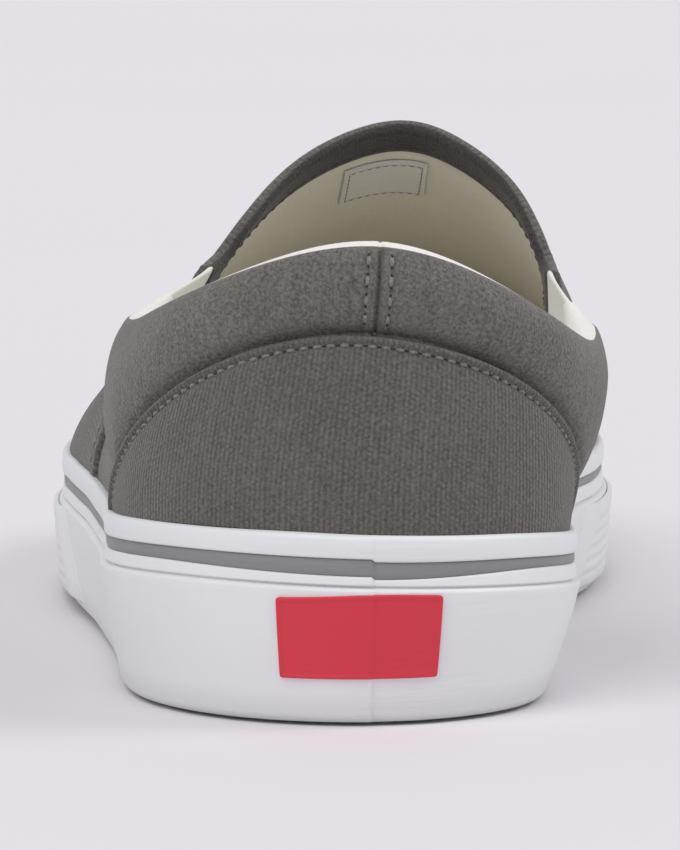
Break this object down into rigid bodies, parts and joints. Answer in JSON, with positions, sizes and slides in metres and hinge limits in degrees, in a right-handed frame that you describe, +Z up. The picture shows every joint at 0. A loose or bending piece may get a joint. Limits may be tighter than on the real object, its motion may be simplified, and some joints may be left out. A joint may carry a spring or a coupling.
{
  "type": "slip-on sneaker",
  "caption": "Left slip-on canvas shoe with a padded collar, elastic side inserts and a flat rubber sole with a tall wrapped sidewall.",
  "frame": {"origin": "centre of the shoe's box in plan, on the surface it stands on", "axes": "+Y from heel to toe, +X to the wearer's medial side, which is the right side of this left shoe, +Z up"},
  "size_m": [0.1094, 0.2894, 0.0934],
  "materials": {
    "sole_rubber": "matt off-white",
    "white_rubber": "satin white",
    "grey_rubber": "satin grey",
    "red_rubber": "satin red",
    "footbed_cloth": "matt cream",
    "canvas": "ribbed grey canvas",
    "elastic": "matt charcoal"
  },
  "bodies": {
    "root": {"outsole": "sole_rubber", "foxing": "white_rubber", "foxing_stripe": "grey_rubber", "toe_bumper": "white_rubber", "heel_label": "red_rubber", "insole": "footbed_cloth", "upper": "canvas", "lateral_gore": "elastic", "medial_gore": "elastic", "heel_counter": "canvas"}
  },
  "joints": []
}
